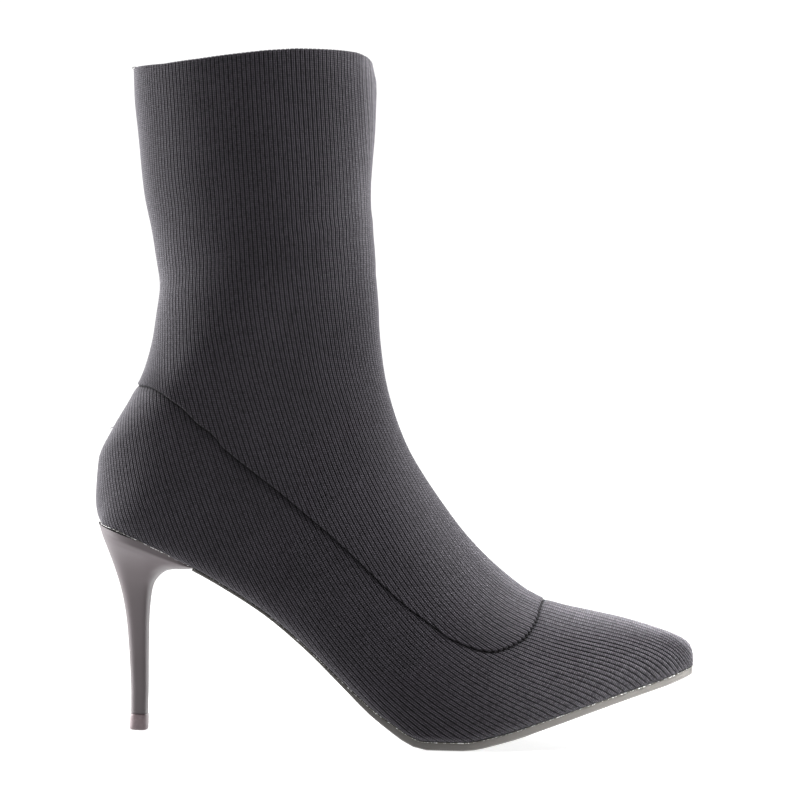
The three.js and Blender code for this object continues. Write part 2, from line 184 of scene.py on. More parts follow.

# Slope of the ribs in the side view, in degrees below the level, measured in the photograph and smoothed,
# and round the toe read: section, then the
# slope at each place around it
RIB_AROUND = [0.10, 0.25, 0.40, 0.55, 0.70, 0.85, 1.00]
RIB_SLOPES = [
    [32, 85, 85, 85, 85, 86, 86, 86],
    [28, 86, 85, 85, 85, 86, 86, 87],
    [26, 87, 87, 85, 85, 85, 86, 87],
    [24, 87, 82, 79, 82, 84, 86, 88],
    [22, 84, 80, 75, 77, 81, 84, 86],
    [20, 76, 75, 73, 71, 77, 82, 84],
    [18, 70, 71, 70, 70, 71, 75, 78],
    [16, 62, 64, 66, 67, 68, 68, 68],
    [14, 57, 57, 58, 60, 61, 61, 62],
    [12, 48, 46, 47, 52, 56, 56, 55],
    [10, 38, 37, 34, 36, 43, 46, 47],
    [8, 33, 31, 26, 24, 23, 23, 24],
    [6, 36, 33, 22, 15, 12, 12, 14],
    [4, 48, 46, 36, 25, 20, 18, 18],
    [2, 60, 60, 55, 49, 45, 42, 40],
    [0, 65, 65, 62, 60, 59, 58, 58],
]
# Section at which every rib is numbered, from 0 behind to 1 on the ridge
RIB_START = 20
# Places around the sections between which the side view shows a rib's slope
RIB_CLEAR_BACK = 0.10
RIB_CLEAR_FEATHER = 0.27
RIB_CLEAR_RIDGE = 0.90
RIB_TURN_MOST = 0.6

# Sections of the heel, from above the seat down to the foot of the stem
HEEL_ROWS = [
    [0.866, 1.018, 1.000, 0.836, 1.000],
    [0.818, 0.989, 1.000, 0.792, 1.000],
    [0.767, 0.952, 0.856, 0.783, 0.905],
    [0.679, 0.897, 0.520, 0.777, 0.676],
    [0.579, 0.836, 0.282, 0.760, 0.467],
    [0.472, 0.769, 0.124, 0.727, 0.305],
    [0.365, 0.698, 0.030, 0.682, 0.195],
    [0.258, 0.609, -0.010, 0.605, 0.119],
    [0.164, 0.496, -0.025, 0.496, 0.067],
    [0.069, 0.297, -0.015, 0.297, 0.029],
    [0.013, 0.111, 0.000, 0.111, 0.010],
    [0.000, 0.000, 0.000, 0.000, 0.000],
]
HEEL_BACK_POWER = 2.6
HEEL_BREAST_POWER = 4

# Shares of the last's surface that the solids use
LOWER_SHARE = 6 / 14
FLAT_SHARE = 0.5
FEATHER = LOWER_SHARE * FLAT_SHARE


# Reading of the tables

def smoothstep(value, start, end):
    t = np.clip((value - start) / (end - start), 0, 1)
    return t * t * (3 - 2 * t)


def smooth_rows(table, place):
    """Rows of a table at fractional places, on a curve that never swings past them."""
    table = np.asarray(table, float)
    step = np.diff(table, axis=0)
    before, after = step[:-1], step[1:]
    same_way = before * after > 0
    between = np.where(same_way, 2 * before * after / np.where(same_way, before + after, 1), 0)
    slope = np.vstack([step[:1], between, step[-1:]])
    place = np.clip(np.asarray(place, float), 0, len(table) - 1)
    index = np.minimum(place.astype(int), len(table) - 2)
    t = (place - index)[..., None]
    bend = (2 * t - 3) * t * t + 1
    ends = table[index] * bend + table[index + 1] * (1 - bend)
    return ends + slope[index] * t * (1 - t) ** 2 + slope[index + 1] * t * t * (t - 1)


def last_sections():
    """All sections in millimetres: low x and z, high x and z, half, flat, widest, swing, ridge, keen."""
    foot = dict(zip(FOOT_COLUMNS, np.array(FOOT_ROWS).T))
    leg = dict(zip(LEG_COLUMNS, np.array(LEG_ROWS).T))
    foot_low = TREAD_TOP + foot["spring"] * TOE_SPRING + foot["pitch"] * (HEEL_HEIGHT - TREAD_TOP)
    leg_low = leg["back"] * SHAFT_DEPTH - HEEL_SETBACK
    none = np.zeros(len(LEG_ROWS))
    return np.vstack([
        np.stack([
            foot["under"] * FOOT_LENGTH - HEEL_SETBACK,
            foot_low,
            foot["over"] * FOOT_LENGTH - HEEL_SETBACK,
            foot_low + foot["rise"] * INSTEP_HEIGHT,
            foot["half"] * BALL_WIDTH,
            foot["flat"],
            foot["widest"],
            foot["swing"] * BALL_WIDTH,
            foot["ridge"] * BALL_WIDTH,
            foot["keen"],
        ], 1),
        np.stack([
            leg_low,
            HEEL_HEIGHT + leg["up"] * SHAFT_HEIGHT,
            leg_low + leg["reach"] * SHAFT_DEPTH,
            HEEL_HEIGHT + leg["front"] * SHAFT_HEIGHT,
            leg["half"] * SHAFT_WIDTH,
            leg["flat"],
            leg["widest"],
            none,
            none,
            none + 1,
        ], 1),
    ])


SECTIONS = last_sections()


def section_at(station):
    return np.moveaxis(smooth_rows(SECTIONS, np.asarray(station, float) - TIP_STATION), -1, 0)


def last_point(station, around, side):
    """Point on the last. Side is -1 on the outer side and 1 on the inner one."""
    station, around, side = np.broadcast_arrays(station, around, side)
    low_x, low_z, high_x, high_z, half, flat, widest, swing, ridge, keen = section_at(station)
    folded = np.where(around > 1, 2 - around, np.abs(around))
    side = side * np.where((around > 1) | (around < 0), -1, 1)
    climb = np.minimum(folded / LOWER_SHARE, 1)
    late = np.maximum(0, (climb - FLAT_SHARE) / (1 - FLAT_SHARE))
    lower = math.pi / 2 * (climb + (late - climb) * np.minimum(1, 2 * flat))
    upper = math.pi / 2 * np.clip((folded - LOWER_SHARE) / (1 - LOWER_SHARE), 0, 1)
    below = folded <= LOWER_SHARE
    across = np.where(
        below,
        flat * np.minimum(1, climb / FLAT_SHARE) + (1 - flat) * np.sin(lower),
        np.maximum(np.cos(upper), 0) ** keen,
    )
    along = np.where(below, widest * (1 - np.cos(lower)), widest + (1 - widest) * np.sin(upper))
    return np.stack([
        low_x + (high_x - low_x) * along,
        swing + (ridge - swing) * along + side * across * half,
        low_z + (high_z - low_z) * along,
    ], -1)


def last_normal(station, around, side):
    """Outward direction at a point on the last."""
    probe = 0.03
    station = np.clip(station, TIP_STATION + 0.3, COLLAR_STATION - probe)
    lengthwise = last_point(station + probe, around, side) - last_point(station - probe, around, side)
    crosswise = last_point(station, around + probe, side) - last_point(station, around - probe, side)
    normal = np.cross(crosswise, lengthwise) * -np.asarray(side, float)[..., None]
    return normal / np.maximum(np.linalg.norm(normal, axis=-1, keepdims=True), 1e-9)


# Materials

def linear(code):
    """An sRGB hex colour as a linear one."""
    parts = [int(code[i:i + 2], 16) / 255 for i in (1, 3, 5)]
    return [c / 12.92 if c <= 0.04045 else ((c + 0.055) / 1.055) ** 2.4 for c in parts] + [1.0]


def add(tree, kind, inputs=None, **settings):
    """Adds a node. Inputs are values or sockets by name or number, and settings its own properties."""
    node = tree.nodes.new(kind)
    for name, value in settings.items():
        setattr(node, name, value)
    for name, value in (inputs or {}).items():
        if isinstance(value, bpy.types.NodeSocket):
            tree.links.new(value, node.inputs[name])
        else:
            node.inputs[name].default_value = value
    return node


def new_material(name):
    material = bpy.data.materials.new(name)
    material.use_nodes = True
    tree = material.node_tree
    shader = tree.nodes["Principled BSDF"]
    return material, tree, shader


def rib_knit():
    """Nylon yarn knitted in a rib. It gives matt ridges of two wales, soft grooves darkened with painted shade,
    stitches with a painted highlight that differs a little from stitch to stitch, and a painted pale sheen where the
    surface turns away."""
    material, tree, shader = new_material("nylon_rib_knit")
    place = add(tree, "ShaderNodeUVMap", uv_map="knit").outputs[0]
    parts = add(tree, "ShaderNodeSeparateXYZ", {0: place})
    rib, course = parts.outputs[0], parts.outputs[1]
    # Height across one rib: 1 on the crest and 0 in the groove
    turn = add(tree, "ShaderNodeMath", {0: rib, 1: 2 * math.pi}, operation="MULTIPLY").outputs[0]
    wave = add(tree, "ShaderNodeMath", {0: turn}, operation="COSINE").outputs[0]
    crest = add(tree, "ShaderNodeMapRange", {0: wave, 1: -1.0, 2: -0.35, 3: 0.0, 4: 1.0}).outputs[0]
    # Two wales stand on each rib. Across a wale: 0 on its middle and 1 at its edges
    wale = add(tree, "ShaderNodeMath", {0: rib, 1: 2.0}, operation="MULTIPLY").outputs[0]
    wale_part = add(tree, "ShaderNodeMath", {0: wale}, operation="FRACT").outputs[0]
    off_middle = add(tree, "ShaderNodeMath", {0: wale_part, 1: 0.5}, operation="SUBTRACT").outputs[0]
    off_middle = add(tree, "ShaderNodeMath", {0: off_middle}, operation="ABSOLUTE").outputs[0]
    # The legs of a stitch lean outwards from the middle of its wale
    slanted = add(tree, "ShaderNodeMath", {0: off_middle, 1: 0.7, 2: course}, operation="MULTIPLY_ADD").outputs[0]
    stitch_turn = add(tree, "ShaderNodeMath", {0: slanted, 1: 2 * math.pi}, operation="MULTIPLY").outputs[0]
    stitch = add(tree, "ShaderNodeMath", {0: stitch_turn}, operation="SINE").outputs[0]
    stitch_up = add(tree, "ShaderNodeMapRange", {0: stitch, 1: -0.9, 2: 0.8, 3: 0.0, 4: 1.0}).outputs[0]
    bold = add(tree, "ShaderNodeAttribute", attribute_name="bold").outputs["Fac"]
    edge = add(tree, "ShaderNodeMapRange", {0: bold, 1: 0.0, 2: 1.0, 3: 0.12, 4: 0.75}).outputs[0]
    middle_up = add(tree, "ShaderNodeMapRange", {0: off_middle, 1: 0.12, 2: 0.46, 3: 1.0, 4: edge}).outputs[0]
    knot = add(tree, "ShaderNodeMath", {0: stitch_up, 1: middle_up}, operation="MULTIPLY").outputs[0]
    # No two stitches are pulled alike, so each stitch's painted highlight and height differ
    wale_number = add(tree, "ShaderNodeMath", {0: wale}, operation="FLOOR").outputs[0]
    late = add(tree, "ShaderNodeMath", {0: slanted, 1: 0.25}, operation="ADD").outputs[0]
    stitch_number = add(tree, "ShaderNodeMath", {0: late}, operation="FLOOR").outputs[0]
    label = add(tree, "ShaderNodeCombineXYZ", {0: wale_number, 1: stitch_number}).outputs[0]
    pull = add(tree, "ShaderNodeTexWhiteNoise", {0: label}, noise_dimensions="2D").outputs[0]
    pull = add(tree, "ShaderNodeMapRange", {0: pull, 1: 0.0, 2: 1.0, 3: 0.35, 4: 2.1}).outputs[0]
    # Fuzz of the yarn, about 0.25 mm, and uneven dye over a few centimetres
    coords = add(tree, "ShaderNodeTexCoord").outputs["Object"]
    fuzz = add(tree, "ShaderNodeTexNoise", {"Vector": coords, "Scale": 3400.0, "Detail": 2.0}).outputs[0]
    dye = add(tree, "ShaderNodeTexNoise", {"Vector": coords, "Scale": 38.0, "Detail": 3.0}).outputs[0]
    light = add(tree, "ShaderNodeMath", {0: knot, 1: pull}, operation="MULTIPLY").outputs[0]
    light = add(tree, "ShaderNodeMath", {0: fuzz, 1: 0.55, 2: light}, operation="MULTIPLY_ADD").outputs[0]
    # Painted shade low in each stitch and a painted highlight on it, over the yarn's own dark colour
    yarn = add(tree, "ShaderNodeMix", {0: light, 6: linear(YARN_TONE_WITH_PAINTED_SHADE), 7: linear(YARN_TONE_WITH_PAINTED_HIGHLIGHT)}, data_type="RGBA")
    # Painted shade darkens the groove between the ribs
    groove = add(tree, "ShaderNodeMix", {0: crest, 6: linear(YARN_GROOVE_PAINTED_SHADE), 7: yarn.outputs[2]}, data_type="RGBA")
    shade = add(tree, "ShaderNodeMapRange", {0: dye, 1: 0.3, 2: 0.7, 3: 0.88, 4: 1.12}).outputs[0]
    dyed = add(tree, "ShaderNodeMix", {0: 1.0, 6: groove.outputs[2], 7: shade}, data_type="RGBA",
               blend_type="MULTIPLY")
    # Painted sheen: the colour grows pale where the surface, without its ribs, is seen along it, more on the lighter
    # stitches
    even = add(tree, "ShaderNodeAttribute", attribute_name="even_normal").outputs["Vector"]
    facing = add(tree, "ShaderNodeLayerWeight", {"Blend": 0.5, "Normal": even}).outputs["Facing"]
    painted_sheen_share = add(tree, "ShaderNodeMapRange", {0: facing, 1: 0.08, 2: 1.0, 3: 0.0, 4: PAINTED_SHEEN}).outputs[0]
    lit = add(tree, "ShaderNodeMath", {0: light, 1: 0.8, 2: 0.45}, operation="MULTIPLY_ADD").outputs[0]
    painted_sheen_share = add(tree, "ShaderNodeMath", {0: painted_sheen_share, 1: lit}, operation="MULTIPLY").outputs[0]
    # Painted highlight on the crests of the ribs pulled bold over the toe, added to the painted sheen
    toe_crest_highlight = add(tree, "ShaderNodeMath", {0: bold, 1: light}, operation="MULTIPLY").outputs[0]
    toe_crest_highlight = add(tree, "ShaderNodeMath", {0: toe_crest_highlight, 1: crest}, operation="MULTIPLY").outputs[0]
    painted_sheen_share = add(tree, "ShaderNodeMath", {0: toe_crest_highlight, 1: PAINTED_TOE_HIGHLIGHT, 2: painted_sheen_share}, operation="MULTIPLY_ADD").outputs[0]
    with_painted_sheen = add(tree, "ShaderNodeMix", {0: painted_sheen_share, 6: dyed.outputs[2], 7: linear(YARN_PAINTED_SHEEN)}, data_type="RGBA")
    # The seam is pulled closed; painted shade darkens it, deepest in small pits where its thread sinks in
    pinch = add(tree, "ShaderNodeAttribute", attribute_name="pinch").outputs["Fac"]
    pits = add(tree, "ShaderNodeTexNoise", {"Vector": coords, "Scale": 900.0, "Detail": 1.0}).outputs[0]
    deep = add(tree, "ShaderNodeMapRange", {0: pits, 1: 0.35, 2: 0.65, 3: 1.0, 4: 0.75}).outputs[0]
    painted_seam_shade_in_pits = add(tree, "ShaderNodeMath", {0: pinch, 1: deep}, operation="MULTIPLY").outputs[0]
    seam = add(tree, "ShaderNodeMix", {0: painted_seam_shade_in_pits, 6: with_painted_sheen.outputs[2], 7: linear("#020202")}, data_type="RGBA")
    tree.links.new(seam.outputs[2], shader.inputs["Base Color"])
    sheen = add(tree, "ShaderNodeMapRange", {0: pinch, 1: 0.0, 2: 0.6, 3: YARN_SHEEN, 4: 0.0}).outputs[0]
    tree.links.new(sheen, shader.inputs["Sheen Weight"])
    height = add(tree, "ShaderNodeMath", {0: light, 1: 0.7, 2: fuzz}, operation="MULTIPLY_ADD").outputs[0]
    bump = add(tree, "ShaderNodeBump", {"Height": height, "Distance": 0.00012, "Strength": 0.7})
    tree.links.new(bump.outputs[0], shader.inputs["Normal"])
    shader.inputs["Roughness"].default_value = 0.9
    shader.inputs["Specular IOR Level"].default_value = 0.2
    shader.inputs["Sheen Roughness"].default_value = 0.4
    shader.inputs["Sheen Tint"].default_value = linear("#dcd8e0")
    return material


def lacquered_abs():
    """ABS, moulded and coated with lacquer from a spray gun. It gives a smooth satin heel with soft long reflections.
    """
    material, tree, shader = new_material("lacquered_abs_heel")
    coords = add(tree, "ShaderNodeTexCoord").outputs["Object"]
    cloud = add(tree, "ShaderNodeTexNoise", {"Vector": coords, "Scale": 55.0, "Detail": 2.0}).outputs[0]
    tone = add(tree, "ShaderNodeMix", {0: cloud, 6: linear("#514a4c"), 7: linear("#5e5659")}, data_type="RGBA")
    # Painted shade: the flare under the seat turns an even grey, a little darker than the heel's mean tone
    high = add(tree, "ShaderNodeSeparateXYZ", {0: coords}).outputs[2]
    flare = add(tree, "ShaderNodeMapRange", {0: high, 1: 0.055, 2: 0.078, 3: 0.0, 4: 1.0}).outputs[0]
    flare_painted_shade = add(tree, "ShaderNodeMix", {0: flare, 6: tone.outputs[2], 7: linear("#554e51")}, data_type="RGBA")
    tree.links.new(flare_painted_shade.outputs[2], shader.inputs["Base Color"])
    # Orange peel of the spray coat, about 1.5 mm
    peel = add(tree, "ShaderNodeTexNoise", {"Vector": coords, "Scale": 650.0, "Detail": 1.0}).outputs[0]
    bump = add(tree, "ShaderNodeBump", {"Height": peel, "Distance": 0.00002, "Strength": 0.5})
    tree.links.new(bump.outputs[0], shader.inputs["Normal"])
    shader.inputs["Roughness"].default_value = 0.55
    shader.inputs["IOR"].default_value = 1.45
    shader.inputs["Coat Weight"].default_value = 0.12
    shader.inputs["Coat Roughness"].default_value = 0.3
    return material


def moulded_rubber():
    """Thermoplastic rubber, moulded and trimmed. It gives a matt grey edge with a faint mottle."""
    material, tree, shader = new_material("moulded_rubber_sole")
    coords = add(tree, "ShaderNodeTexCoord").outputs["Object"]
    mottle = add(tree, "ShaderNodeTexNoise", {"Vector": coords, "Scale": 240.0, "Detail": 4.0}).outputs[0]
    tone = add(tree, "ShaderNodeMix", {0: mottle, 6: linear("#3c3a38"), 7: linear("#504d4a")}, data_type="RGBA")
    # Painted light: the edge grows paler towards the toe
    length = add(tree, "ShaderNodeSeparateXYZ", {0: coords}).outputs[0]
    pale = add(tree, "ShaderNodeMapRange", {0: length, 1: 0.09, 2: 0.215, 3: 0.0, 4: 1.0}).outputs[0]
    toe_painted_light = add(tree, "ShaderNodeMix", {0: pale, 6: tone.outputs[2], 7: linear("#807d79")}, data_type="RGBA")
    tree.links.new(toe_painted_light.outputs[2], shader.inputs["Base Color"])
    # Buffing marks, about 0.4 mm
    grain = add(tree, "ShaderNodeTexNoise", {"Vector": coords, "Scale": 2400.0, "Detail": 2.0}).outputs[0]
    bump = add(tree, "ShaderNodeBump", {"Height": grain, "Distance": 0.00005, "Strength": 0.6})
    tree.links.new(bump.outputs[0], shader.inputs["Normal"])
    shader.inputs["Roughness"].default_value = 0.55
    shader.inputs["IOR"].default_value = 1.5
    return material


def top_piece_urethane():
    """Polyurethane, moulded. It gives a dull brown-grey block a shade warmer than the heel."""
    material, tree, shader = new_material("moulded_urethane_top_piece")
    coords = add(tree, "ShaderNodeTexCoord").outputs["Object"]
    speck = add(tree, "ShaderNodeTexNoise", {"Vector": coords, "Scale": 900.0, "Detail": 3.0}).outputs[0]
    tone = add(tree, "ShaderNodeMix", {0: speck, 6: linear("#67585a"), 7: linear("#827377")}, data_type="RGBA")
    tree.links.new(tone.outputs[2], shader.inputs["Base Color"])
    bump = add(tree, "ShaderNodeBump", {"Height": speck, "Distance": 0.00005, "Strength": 0.5})
    tree.links.new(bump.outputs[0], shader.inputs["Normal"])
    shader.inputs["Roughness"].default_value = 0.45
    shader.inputs["IOR"].default_value = 1.5
    return material


def lining_jersey():
    """Brushed polyester jersey. It gives a flat dark inside with a fine nap."""
    material, tree, shader = new_material("brushed_jersey_lining")
    coords = add(tree, "ShaderNodeTexCoord").outputs["Object"]
    nap = add(tree, "ShaderNodeTexNoise", {"Vector": coords, "Scale": 1500.0, "Detail": 3.0}).outputs[0]
    tone = add(tree, "ShaderNodeMix", {0: nap, 6: linear("#1b1a1c"), 7: linear("#343236")}, data_type="RGBA")
    tree.links.new(tone.outputs[2], shader.inputs["Base Color"])
    bump = add(tree, "ShaderNodeBump", {"Height": nap, "Distance": 0.0001, "Strength": 0.5})
    tree.links.new(bump.outputs[0], shader.inputs["Normal"])
    shader.inputs["Roughness"].default_value = 0.95
    shader.inputs["Sheen Weight"].default_value = 0.2
    return material


def dried_cement():
    """Sole cement and cut thread ends, dried in the joint. Their grey colour has small white painted glints along the
    feather.
    """
    material, tree, shader = new_material("dried_sole_cement")
    coords = add(tree, "ShaderNodeTexCoord").outputs["Object"]
    patch = add(tree, "ShaderNodeTexNoise", {"Vector": coords, "Scale": 1200.0, "Detail": 2.0}).outputs[0]
    painted_glint = add(tree, "ShaderNodeMapRange", {0: patch, 1: 0.5, 2: 0.6, 3: 0.0, 4: 1.0}).outputs[0]
    tone = add(tree, "ShaderNodeMix", {0: painted_glint, 6: linear("#6f6c66"), 7: linear("#ffffff")}, data_type="RGBA")
    tree.links.new(tone.outputs[2], shader.inputs["Base Color"])
    shader.inputs["Roughness"].default_value = 0.35
    return material


# Meshes

def grid_faces(rows, columns, closed=False):
    """Quads of a grid of points, and of its last column with its first where it is closed."""
    index = np.arange(rows * columns).reshape(rows, columns)
    if closed:
        index = np.hstack([index, index[:, :1]])
    return np.stack([index[:-1, :-1], index[:-1, 1:], index[1:, 1:], index[1:, :-1]], -1).reshape(-1, 4)


def keep_real(points, faces):
    """Leaves out the quads that have shrunk to nothing."""
    across = points[faces[:, 2]] - points[faces[:, 0]]
    other = points[faces[:, 3]] - points[faces[:, 1]]
    return faces[np.linalg.norm(np.cross(across, other), axis=1) > 1e-5]


def make_piece(name, points, faces, material, slot, uv=None, normal=None, **shares):
    """A smooth piece of the boot from points in millimetres. Knit also has its stitches counted, the
    normal without its ribs, and shares of 0 to 1: how bold the ribs are and how much painted shade the pinched seam
    lays on them."""
    mesh = bpy.data.meshes.new(name)
    mesh.from_pydata((np.asarray(points) * MM).tolist(), [], [list(f) for f in faces])
    if uv is not None:
        corners = np.zeros(len(mesh.loops), np.int32)
        mesh.loops.foreach_get("vertex_index", corners)
        layer = mesh.uv_layers.new(name="knit")
        layer.data.foreach_set("uv", np.asarray(uv, np.float32)[corners].ravel())
        even = mesh.attributes.new("even_normal", "FLOAT_VECTOR", "POINT")
        even.data.foreach_set("vector", np.asarray(normal, np.float32).ravel())
    for share, values in shares.items():
        mesh.attributes.new(share, "FLOAT", "POINT").data.foreach_set("value", np.asarray(values, np.float32).ravel())
    mesh.shade_smooth()
    mesh.materials.append(material)
    piece = bpy.data.objects.new(name, mesh)
    bpy.context.scene.collection.objects.link(piece)
    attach(piece, "root")
    return piece


# Knit of the upper

def seam_height():
    """Side view of the seam, as lengths and heights."""
    station, share = smooth_rows(SEAM_ROWS, np.linspace(0, len(SEAM_ROWS) - 1, 200)).T
    low_x, low_z, high_x, high_z = section_at(station)[:4]
    return low_x + (high_x - low_x) * share, low_z + (high_z - low_z) * share


SEAM_X, SEAM_Z = seam_height()

# Where the knit ends underneath, hidden by sole and heel: sections, and places around them
UNDER_STATIONS = [TIP_STATION, 17, 18, 18.6, 18.9, 18.95]
UNDER_SHARES = [0.195, 0.195, 0.175, 0.10, 0.002, -1]


def rib_turn(station, around):
    """How fast a rib moves around the sections, so that it keeps its slope in the side view."""
    probe = 0.01
    low = RIB_CLEAR_BACK + (RIB_CLEAR_FEATHER - RIB_CLEAR_BACK) * (1 - smoothstep(station, 19, 20.5))
    held = np.clip(around, low, RIB_CLEAR_RIDGE)
    chart = np.array(RIB_SLOPES, float)
    row = np.interp(-station, -chart[:, 0], np.arange(len(chart)))
    column = np.interp(held, RIB_AROUND, np.arange(len(RIB_AROUND)))
    slope = np.radians(smooth_rows(smooth_rows(chart, row)[1:, None], column)[:, 0])
    way = np.stack([np.cos(slope), -np.sin(slope)], -1)
    lengthwise = (last_point(station + probe, held, -1) - last_point(station - probe, held, -1))[:, ::2]
    crosswise = (last_point(station, held + probe, -1) - last_point(station, held - probe, -1))[:, ::2]
    turn = -np.cross(lengthwise, way) / np.cross(crosswise, way)
    return np.clip(turn, -RIB_TURN_MOST, RIB_TURN_MOST) * np.clip((1 - around) / (1 - RIB_CLEAR_RIDGE), 0, 1)


def follow_ribs():
    """Places of the ribs around the sections, from the collar to the toe: one row a rib."""
    step = 0.1
    stations = np.arange(COLLAR_STATION, TIP_STATION - step / 2, -step)
    lines = np.linspace(0, 1, 161)
    places = np.zeros((len(lines), len(stations)))
    middle = int(round((COLLAR_STATION - RIB_START) / step))
    places[:, middle] = lines
    for way in (1, -1):
        index = middle
        while 0 <= index + way < len(stations):
            here, ahead = stations[index], stations[index + way]
            halfway = places[:, index] + rib_turn(here, places[:, index]) * (ahead - here) / 2
            places[:, index + way] = places[:, index] + rib_turn((here + ahead) / 2, halfway) * (ahead - here)
            index += way
    return lines, stations, places


RIB_LINES, RIB_STATIONS, RIB_PLACES = follow_ribs()


def rib_course(lines):
    """Sections and places around them along each rib, and their points on the outer side."""
    shares = smooth_rows(RIB_PLACES, np.asarray(lines) * (len(RIB_LINES) - 1))
    shares = np.clip(shares, 0, 1)
    return RIB_STATIONS, shares, last_point(RIB_STATIONS[None, :], shares, -1)


def first_below(values, after):
    """Fractional place in each row at which its values first fall below 0, past the place given."""
    count = values.shape[1]
    places = np.arange(count)
    below = (values < 0) & (places[None, :] > after[:, None])
    found = below.any(1)
    index = np.where(found, below.argmax(1), count - 1)
    rows = np.arange(len(values))
    here, ahead = values[rows, np.maximum(index - 1, 0)], values[rows, index]
    part = np.where(found & (here > ahead), here / np.maximum(here - ahead, 1e-9), 1)
    return np.maximum(index - 1 + np.clip(part, 0, 1), after)


def panel_reach(lines, sock):
    """Places along each rib where the sock or the lower panel starts and ends."""
    stations, shares, points = rib_course(lines)
    above = np.minimum(points[..., 2] - np.interp(points[..., 0], SEAM_X, SEAM_Z), SEAM_X[-1] - points[..., 0])
    none = np.zeros(len(lines))
    seam = first_below(above, none)
    if sock:
        return stations, shares, points, none, seam
    end = first_below(shares - np.interp(stations, UNDER_STATIONS, UNDER_SHARES), seam)
    return stations, shares, points, seam, end


def rib_phase(lines, sock):
    """Number of ribs between the ridge and each line, from the mean distance between neighbours."""
    stations, shares, points, start, end = panel_reach(lines, sock)
    along = np.gradient(points, axis=1)
    along /= np.maximum(np.linalg.norm(along, axis=-1, keepdims=True), 1e-9)
    apart = points[1:] - points[:-1]
    apart -= (apart * along[1:]).sum(-1, keepdims=True) * along[1:]
    places = np.arange(points.shape[1])
    inside = (places >= start[1:, None]) & (places <= end[1:, None]) & (shares[1:] > 0.01)
    spacing = (np.linalg.norm(apart, axis=-1) * inside).sum(1) / np.maximum(inside.sum(1), 1)
    total = np.concatenate([[0], np.cumsum(spacing)])
    return (total[-1] - total) / RIB_PITCH


def row_distances(lengths, near_start, near_end, between):
    """Distances along each rib: close rows by its ends and even ones between them."""
    squeeze = np.minimum(1, 0.7 * lengths / (near_start[-1] + near_end[-1]))[:, None]
    head = squeeze * near_start
    tail = lengths[:, None] - squeeze * near_end[::-1]
    middle = head[:, -1:] + (tail[:, :1] - head[:, -1:]) * np.linspace(0, 1, between + 2)[1:-1]
    return np.hstack([head, middle, tail])


def rib_relief(phase, bold):
    """Height across a rib in millimetres: a groove at the half, and a crest of two wales with a dip
    between them. The lasted toe pulls the ribs bold and fills the dip."""
    across = np.abs(phase - np.round(phase)) * 2
    body = 1 - np.maximum(0, (across - 0.35) / 0.65) ** 1.6
    dip = WALE_DIP * (1 - bold) * np.exp(-((across / 0.22) ** 2))
    return RIB_DEPTH * (1 + 0.6 * bold) * (body - dip - 0.75)


def rib_boldness(points, around):
    """Ribs grow bold towards the toe and towards the sole's edge."""
    return smoothstep(points[..., 0], 120, 185) * (1 - 0.7 * smoothstep(around, 0.4, 0.8))


# Soft ripples and creases of the shaft and ankle, placed one by one:
# station, share, length up and down, width around, height
CREASES = [
    [27.1, 0.45, 0.35, 0.40, -0.7],
    [26.4, 0.45, 0.45, 0.40, 0.6],
    [25.6, 0.70, 0.35, 0.25, -0.4],
    [28.6, 0.25, 0.40, 0.25, -0.5],
    [29.4, 0.30, 0.60, 0.30, 0.4],
    [23.0, 0.80, 0.50, 0.20, -0.4],
]


def soft_creases(station, around):
    height = np.zeros(np.broadcast(station, around).shape)
    for middle, share, tall, wide, high in CREASES:
        height = height + high * np.exp(-(((station - middle) / tall) ** 2) - ((around - share) / wide) ** 2)
    return height


def knit_panel(name, sock, near_start, near_end, between):
    """One knitted panel, whose columns follow the ribs over both sides of the boot."""
    chart = np.linspace(0, 1, 801)
    if sock:
        _, _, _, start, end = panel_reach(chart, True)
        station_at_end = COLLAR_STATION - 0.1 * end
        chart = chart[station_at_end < SEAM_ROWS[0][0] - 0.02]
    phase = rib_phase(chart, sock)
    steps = np.arange(0, int(phase[0] * RIB_STEPS) + 1)
    wanted = steps[::-1] / RIB_STEPS
    lines = np.interp(-wanted, -phase, chart)
    stations, shares, points, start, end = panel_reach(lines, sock)
    travelled = np.hstack([
        np.zeros((len(lines), 1)), np.cumsum(np.linalg.norm(np.diff(points, axis=1), axis=-1), axis=1),
    ])
    places = np.arange(points.shape[1])
    first = np.array([np.interp(s, places, t) for s, t in zip(start, travelled)])
    last = np.array([np.interp(e, places, t) for e, t in zip(end, travelled)])
    along = first[:, None] + row_distances(last - first, near_start, near_end, between)
    station = np.array([np.interp(d, t, stations) for d, t in zip(along, travelled)])
    around = np.array([np.interp(d, t, s) for d, t, s in zip(along, travelled, shares)])
    # Courses run square to the ribs, so each rib counts its stitches from its neighbour's
    head = last_point(station[:, 0], around[:, 0], -1)
    after = last_point(station[:, 1], around[:, 1], -1)
    toward = (after - head) / np.maximum(np.linalg.norm(after - head, axis=1, keepdims=True), 1e-9)
    shift = np.concatenate([[0], np.cumsum(((head[1:] - head[:-1]) * toward[:-1]).sum(1))])
    course = (along - first[:, None] + shift[:, None]) / COURSE_PITCH
    both = lambda grid, sign=1: np.vstack([grid, sign * grid[-2::-1]])
    side = both(-np.ones_like(station), -1)
    side[len(lines) - 1:] = 1
    station, around, course, along = both(station), both(around), both(course), both(along - first[:, None])
    length = np.concatenate([last - first, (last - first)[-2::-1]])[:, None]
    ribs = np.concatenate([wanted, -wanted[-2::-1]])[:, None] * np.ones_like(station)
    return station, around, side, ribs, course, along, length


NEAR_SEAM = np.array([0, 0.3, 0.65, 1.1, 1.7, 2.6])
NEAR_HIDDEN = np.array([0, 1.5])


def back_seam_blend(around):
    """0 in the stitching of the back seam and 1 clear of it."""
    return np.clip(around / 0.035, 0, 1) ** 0.7


